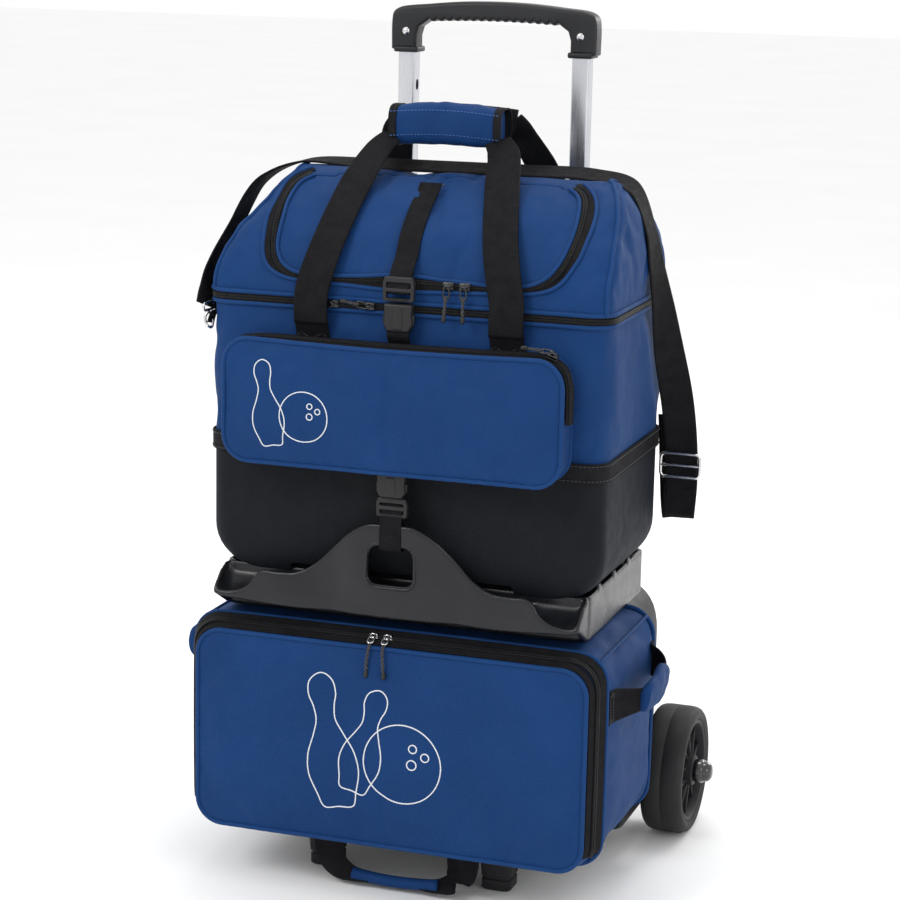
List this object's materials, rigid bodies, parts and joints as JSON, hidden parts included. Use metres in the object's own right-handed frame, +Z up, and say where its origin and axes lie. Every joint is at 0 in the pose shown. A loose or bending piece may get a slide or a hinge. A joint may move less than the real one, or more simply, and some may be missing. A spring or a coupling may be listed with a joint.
{
  "type": "bowling ball bag",
  "caption": "Roller bag for bowling balls: zipped lower bag on a wheeled frame, telescoping handle, and a lift-off tote with a domed shoe lid on a tray.",
  "frame": {"origin": "on the floor, under the middle of the bag's outline", "axes": "+Z up; +Y towards the wheels and pull handle at the back; +X to the right of a person facing the front"},
  "size_m": [0.566, 0.432, 0.958],
  "materials": {
    "blue_fabric": "woven polyester, satin, seamed and piped",
    "black_webbing": "ribbed webbing, matt",
    "black_mould": "fine-grained moulded plastic",
    "tray_plastic": "satin moulded plastic with a leather grain",
    "aluminium": "satin anodised",
    "tyre": "smooth rubber",
    "steel": "bright nickel plate",
    "buckle_nylon": "moulded nylon, satin",
    "foam": "closed-cell foam"
  },
  "bodies": {
    "chassis": {"back_shell": "black_mould", "base_plate": "black_mould", "axle": "steel", "tube_brace": "black_mould", "tray": "tray_plastic", "tray_strap": "black_webbing", "tray_buckle": "buckle_nylon", "outer_tube_left": "aluminium", "outer_collar_left": "black_mould", "outer_tube_right": "aluminium", "outer_collar_right": "black_mould", "lower_bag_body": "blue_fabric", "lower_ball_cups": "foam", "side_handle_left": "black_webbing", "side_handle_right": "black_webbing"},
    "bottom_handle": {"bottom_handle": "black_webbing"},
    "lower_panel": {"lower_front_panel": "blue_fabric"},
    "lower_slider_left": {"lower_zip_slider_left": "steel"},
    "lower_slider_right": {"lower_zip_slider_right": "steel"},
    "wheel_left": {"tyre_left": "tyre", "wheel_hub_left": "black_mould", "axle_cap_left": "black_mould"},
    "wheel_right": {"tyre_right": "tyre", "wheel_hub_right": "black_mould", "axle_cap_right": "black_mould"},
    "handle_middle": {"middle_tube_left": "aluminium", "middle_collar_left": "black_mould", "middle_tube_right": "aluminium", "middle_collar_right": "black_mould"},
    "handle_upper": {"inner_tube_left": "aluminium", "inner_tube_right": "aluminium", "grip_rivet_left": "steel", "grip_rivet_right": "steel", "handle_grip": "black_mould"},
    "tote": {"tote_base": "black_mould", "tote_body": "blue_fabric", "tote_band": "black_webbing", "front_pocket": "blue_fabric", "tote_ball_cups": "foam", "socket_lower": "buckle_nylon", "socket_upper": "buckle_nylon", "strap_hook_left": "steel", "strap_hook_right": "steel", "shoulder_strap": "black_webbing", "strap_adjuster": "steel"},
    "pocket_slider": {"pocket_zip_slider": "steel"},
    "main_slider_left": {"main_zip_slider_left": "steel"},
    "main_slider_right": {"main_zip_slider_right": "steel"},
    "lid": {"lid_shell": "blue_fabric", "main_zipper": "black_webbing"},
    "flap_slider_left": {"flap_zip_slider_left": "steel"},
    "flap_slider_right": {"flap_zip_slider_right": "steel"},
    "flap": {"shoe_flap": "blue_fabric", "lid_strap": "black_webbing", "lid_buckle": "buckle_nylon"},
    "front_loop_base": {"front_loop_tab_left": "black_webbing", "front_loop_tab_right": "black_webbing"},
    "front_loop": {"front_carry_loop": "blue_fabric"},
    "back_loop": {"back_carry_loop": "black_webbing"}
  },
  "joints": [
    {"name": "wheel_left_spin", "type": "hinge", "parent": "chassis", "child": "wheel_left", "pos_m": [0, 0.141, 0.075], "axis": [1, 0, 0], "continuous": true},
    {"name": "wheel_right_spin", "type": "hinge", "parent": "chassis", "child": "wheel_right", "pos_m": [0, 0.141, 0.075], "axis": [1, 0, 0], "continuous": true},
    {"name": "handle_middle_slide", "type": "slide", "parent": "chassis", "child": "handle_middle", "axis": [0, 0, 1], "range_m": [-0.25, 0]},
    {"name": "handle_upper_slide", "type": "slide", "parent": "handle_middle", "child": "handle_upper", "axis": [0, 0, 1], "range_m": [-0.19, 0.056]},
    {"name": "tote_lift", "type": "slide", "parent": "chassis", "child": "tote", "axis": [0, 0, 1], "range_m": [0, 0.3]},
    {"name": "lid_open", "type": "hinge", "parent": "tote", "child": "lid", "pos_m": [0, 0.0705, 0.6462], "axis": [-1, 0, 0], "range_deg": [0, 36], "deforming": ["shoulder_strap"]},
    {"name": "shoe_flap_open", "type": "hinge", "parent": "lid", "child": "flap", "pos_m": [0, -0.071, 0.7748], "axis": [-1, 0, 0], "range_deg": [0, 55]},
    {"name": "front_loop_flap_swing", "type": "hinge", "parent": "tote", "child": "front_loop_base", "pos_m": [0, -0.186, 0.6265], "axis": [-1, 0, 0], "range_deg": [-80, 0]},
    {"name": "front_loop_lid_swing", "type": "hinge", "parent": "front_loop_base", "child": "front_loop", "pos_m": [0, -0.186, 0.6425], "axis": [-1, 0, 0], "range_deg": [-54, 0]},
    {"name": "back_loop_swing", "type": "hinge", "parent": "tote", "child": "back_loop", "pos_m": [0, 0.072, 0.6265], "axis": [-1, 0, 0], "range_deg": [0, 24]},
    {"name": "lower_panel_open", "type": "hinge", "parent": "chassis", "child": "lower_panel", "pos_m": [0, -0.179, 0.066], "axis": [1, 0, 0], "range_deg": [0, 90]},
    {"name": "lower_slider_left_run", "type": "slide", "parent": "lower_panel", "child": "lower_slider_left", "axis": [1, 0, 0], "range_m": [-0.155, 0]},
    {"name": "lower_slider_right_run", "type": "slide", "parent": "lower_panel", "child": "lower_slider_right", "axis": [1, 0, 0], "range_m": [0, 0.155]},
    {"name": "pocket_slider_run", "type": "slide", "parent": "tote", "child": "pocket_slider", "axis": [1, 0, 0], "range_m": [-0.29, 0]},
    {"name": "main_slider_left_run", "type": "slide", "parent": "tote", "child": "main_slider_left", "axis": [1, 0, 0], "range_m": [-0.11, 0]},
    {"name": "main_slider_right_run", "type": "slide", "parent": "tote", "child": "main_slider_right", "axis": [1, 0, 0], "range_m": [0, 0.013]},
    {"name": "flap_slider_left_run", "type": "slide", "parent": "lid", "child": "flap_slider_left", "axis": [1, 0, 0], "range_m": [-0.026, 0]},
    {"name": "flap_slider_right_run", "type": "slide", "parent": "lid", "child": "flap_slider_right", "axis": [1, 0, 0], "range_m": [0, 0.045]},
    {"name": "bottom_handle_swing", "type": "hinge", "parent": "chassis", "child": "bottom_handle", "pos_m": [0, -0.169, 0.06], "axis": [-1, 0, 0], "range_deg": [-50, 20]}
  ],
  "couplings": [
    {"joint": "front_loop_lid_swing", "follows": "lid_open", "ratio": -1.5},
    {"joint": "front_loop_flap_swing", "follows": "shoe_flap_open", "ratio": -1.4544},
    {"joint": "back_loop_swing", "follows": "lid_open", "ratio": 0.6389}
  ]
}
